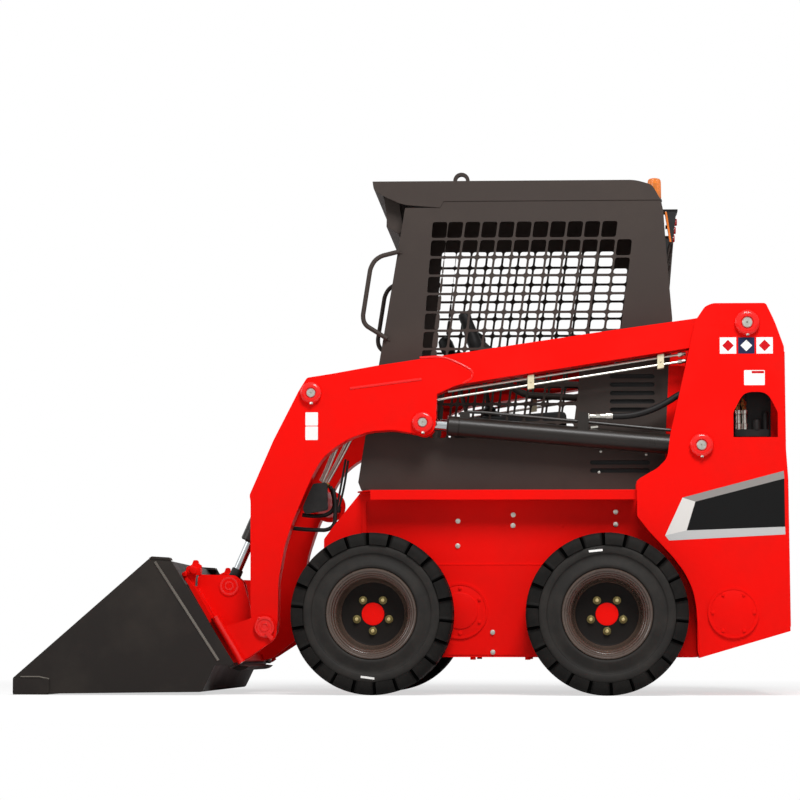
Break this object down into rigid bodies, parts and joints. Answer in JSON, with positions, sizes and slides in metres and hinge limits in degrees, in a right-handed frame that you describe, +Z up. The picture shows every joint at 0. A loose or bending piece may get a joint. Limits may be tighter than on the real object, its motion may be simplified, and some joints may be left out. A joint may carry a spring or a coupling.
{
  "type": "skid steer loader",
  "caption": "Compact wheeled loader with a caged cab, radial lift arms, hydraulic cylinders and a quick-attach dirt bucket.",
  "frame": {"origin": "on the ground under the middle of the whole machine with its bucket", "axes": "+X forward to the bucket, +Y to the machine's left, +Z up"},
  "size_m": [2.919, 1.4, 2.087],
  "materials": {
    "red_paint": "gloss",
    "charcoal_paint": "satin",
    "bucket_paint": "satin",
    "tyre": "matt",
    "rim_paint": "gloss",
    "seat_vinyl": "satin",
    "black_plastic": "satin",
    "chrome": "polished",
    "zinc": "satin",
    "engine_iron": "matt",
    "beacon_lens": "gloss",
    "steel": "satin"
  },
  "bodies": {
    "machine": {"chassis_frame": "red_paint", "fender_ledges": "red_paint", "axle_housings": "red_paint", "tower_left": "red_paint", "tower_right": "red_paint", "access_covers": "red_paint", "rear_crossmember": "red_paint", "engine_block": "engine_iron", "cab_side_left": "charcoal_paint", "cab_side_right": "charcoal_paint", "side_grille_left": "charcoal_paint", "side_grille_right": "charcoal_paint", "cab_roof": "charcoal_paint", "cab_rear_wall": "charcoal_paint", "cab_floor": "charcoal_paint", "seat_base": "charcoal_paint", "operator_seat": "seat_vinyl", "console_left": "black_plastic", "console_right": "black_plastic", "grab_handles": "black_plastic", "beacon": "beacon_lens", "lifting_eye": "charcoal_paint", "rear_lamps": "black_plastic"},
    "hood": {"engine_hood": "red_paint"},
    "door": {"rear_door": "red_paint"},
    "seat_bar": {"lap_bar": "black_plastic"},
    "lift_arm": {"arm_left": "red_paint", "arm_right": "red_paint", "arm_cross_tube": "red_paint", "arm_pipes": "zinc"},
    "lift_barrel": {"lift_barrels": "charcoal_paint"},
    "lift_rod": {"lift_rods": "chrome"},
    "tilt_barrel": {"tilt_barrels": "charcoal_paint"},
    "tilt_rod": {"tilt_rods": "chrome"},
    "bucket_carrier": {"hitch_frame": "red_paint", "latch_levers": "red_paint", "bucket": "bucket_paint", "cutting_edge": "steel"},
    "wheel_front_left": {"rim_front_left": "rim_paint", "tyre_front_left": "tyre"},
    "wheel_front_right": {"rim_front_right": "rim_paint", "tyre_front_right": "tyre"},
    "wheel_rear_left": {"rim_rear_left": "rim_paint", "tyre_rear_left": "tyre"},
    "wheel_rear_right": {"rim_rear_right": "rim_paint", "tyre_rear_right": "tyre"}
  },
  "joints": [
    {"name": "wheel_front_left_turn", "type": "hinge", "parent": "machine", "child": "wheel_front_left", "pos_m": [0.114, 0.5, 0.306], "axis": [0, 1, 0], "continuous": true},
    {"name": "wheel_front_right_turn", "type": "hinge", "parent": "machine", "child": "wheel_front_right", "pos_m": [0.114, -0.5, 0.306], "axis": [0, 1, 0], "continuous": true},
    {"name": "wheel_rear_left_turn", "type": "hinge", "parent": "machine", "child": "wheel_rear_left", "pos_m": [-0.771, 0.5, 0.306], "axis": [0, 1, 0], "continuous": true},
    {"name": "wheel_rear_right_turn", "type": "hinge", "parent": "machine", "child": "wheel_rear_right", "pos_m": [-0.771, -0.5, 0.306], "axis": [0, 1, 0], "continuous": true},
    {"name": "lift_raise", "type": "hinge", "parent": "machine", "child": "lift_arm", "pos_m": [-1.303, 0, 1.409], "axis": [0, -1, 0], "range_deg": [0, 60]},
    {"name": "bucket_tilt", "type": "hinge", "parent": "lift_arm", "child": "bucket_carrier", "pos_m": [0.527, 0, 0.256], "axis": [0, 1, 0], "range_deg": [-25, 90]},
    {"name": "lift_barrel_swing", "type": "hinge", "parent": "machine", "child": "lift_barrel", "pos_m": [-1.129, 0, 0.944], "axis": [0, -1, 0], "range_deg": [0, 56.42]},
    {"name": "lift_rod_slide", "type": "slide", "parent": "lift_barrel", "child": "lift_rod", "axis": [0.9963, 0, 0.0858], "range_m": [0, 0.4878]},
    {"name": "tilt_barrel_swing", "type": "hinge", "parent": "lift_arm", "child": "tilt_barrel", "pos_m": [0.355, 0, 1.149], "axis": [0, 1, 0], "range_deg": [-1.5, 4.1]},
    {"name": "tilt_rod_slide", "type": "slide", "parent": "tilt_barrel", "child": "tilt_rod", "axis": [0.4028, 0, -0.9153], "range_m": [-0.0835, 0.2953]},
    {"name": "hood_open", "type": "hinge", "parent": "machine", "child": "hood", "pos_m": [-1.024, 0, 1.262], "axis": [0, 1, 0], "range_deg": [0, 60]},
    {"name": "door_open", "type": "hinge", "parent": "machine", "child": "door", "pos_m": [-1.452, -0.408, 0.786], "axis": [0, 0, 1], "range_deg": [0, 90]},
    {"name": "seat_bar_raise", "type": "hinge", "parent": "machine", "child": "seat_bar", "pos_m": [-0.7, 0, 1.2], "axis": [0, -1, 0], "range_deg": [0, 75]}
  ],
  "couplings": [
    {"joint": "lift_barrel_swing", "follows": "lift_raise", "ratio": 0.92366},
    {"joint": "lift_rod_slide", "follows": "lift_raise", "m_per_rad": 0.46392},
    {"joint": "tilt_barrel_swing", "follows": "bucket_tilt", "ratio": 0.04},
    {"joint": "tilt_rod_slide", "follows": "bucket_tilt", "m_per_rad": 0.18671}
  ]
}
